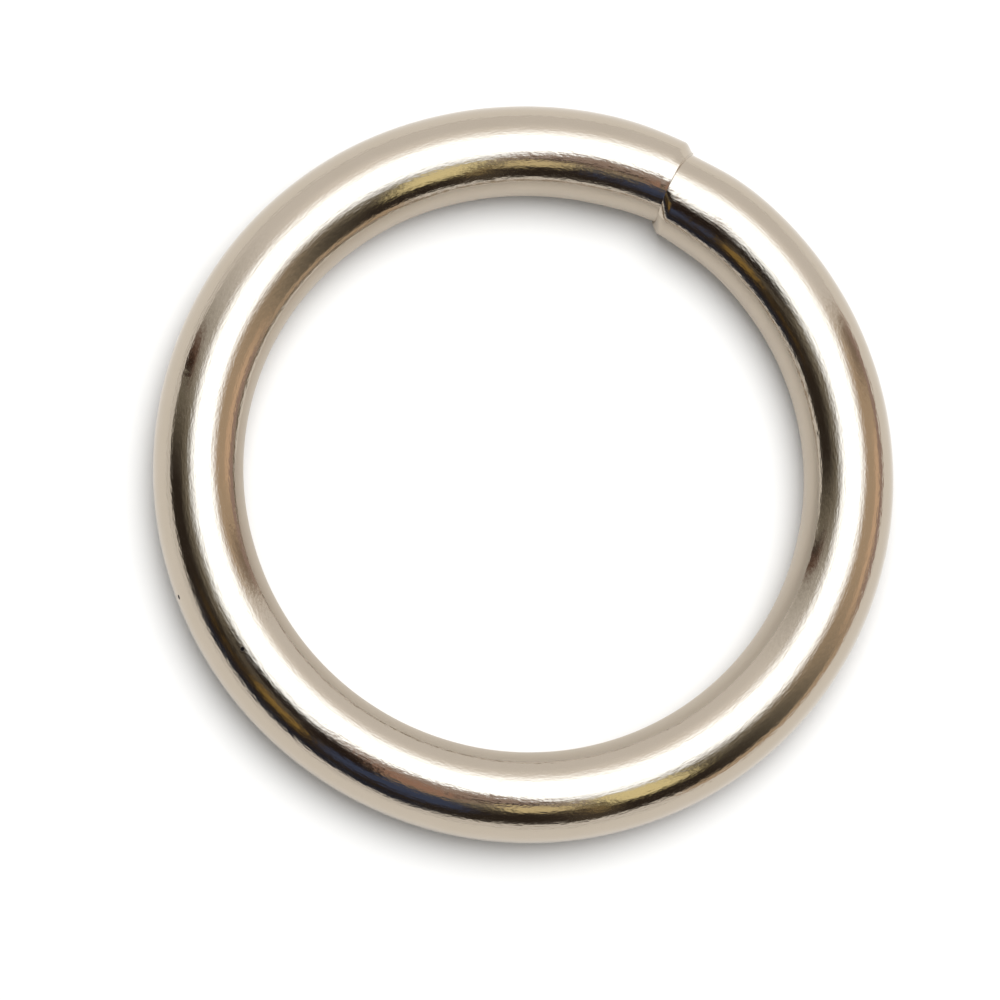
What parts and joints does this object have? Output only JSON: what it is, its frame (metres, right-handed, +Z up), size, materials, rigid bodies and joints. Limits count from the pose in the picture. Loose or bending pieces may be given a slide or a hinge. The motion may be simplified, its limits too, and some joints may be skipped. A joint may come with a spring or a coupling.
{
  "type": "welded o-ring",
  "caption": "Round ring of plated steel wire, butt-welded end to end with a slightly stepped joint, for straps, leads and snap hooks.",
  "frame": {"origin": "centre of the ring, on the plane that it lies on", "axes": "+Z up, along the ring's axis; the weld lies at about 63 degrees from +X towards +Y"},
  "size_m": [0.0336, 0.0337, 0.0041],
  "materials": {
    "nickel_plate": "bright nickel plate over drawn steel wire, tumbled, slightly warm in tone"
  },
  "bodies": {
    "root": {"welded_ring": "nickel_plate"}
  },
  "joints": []
}
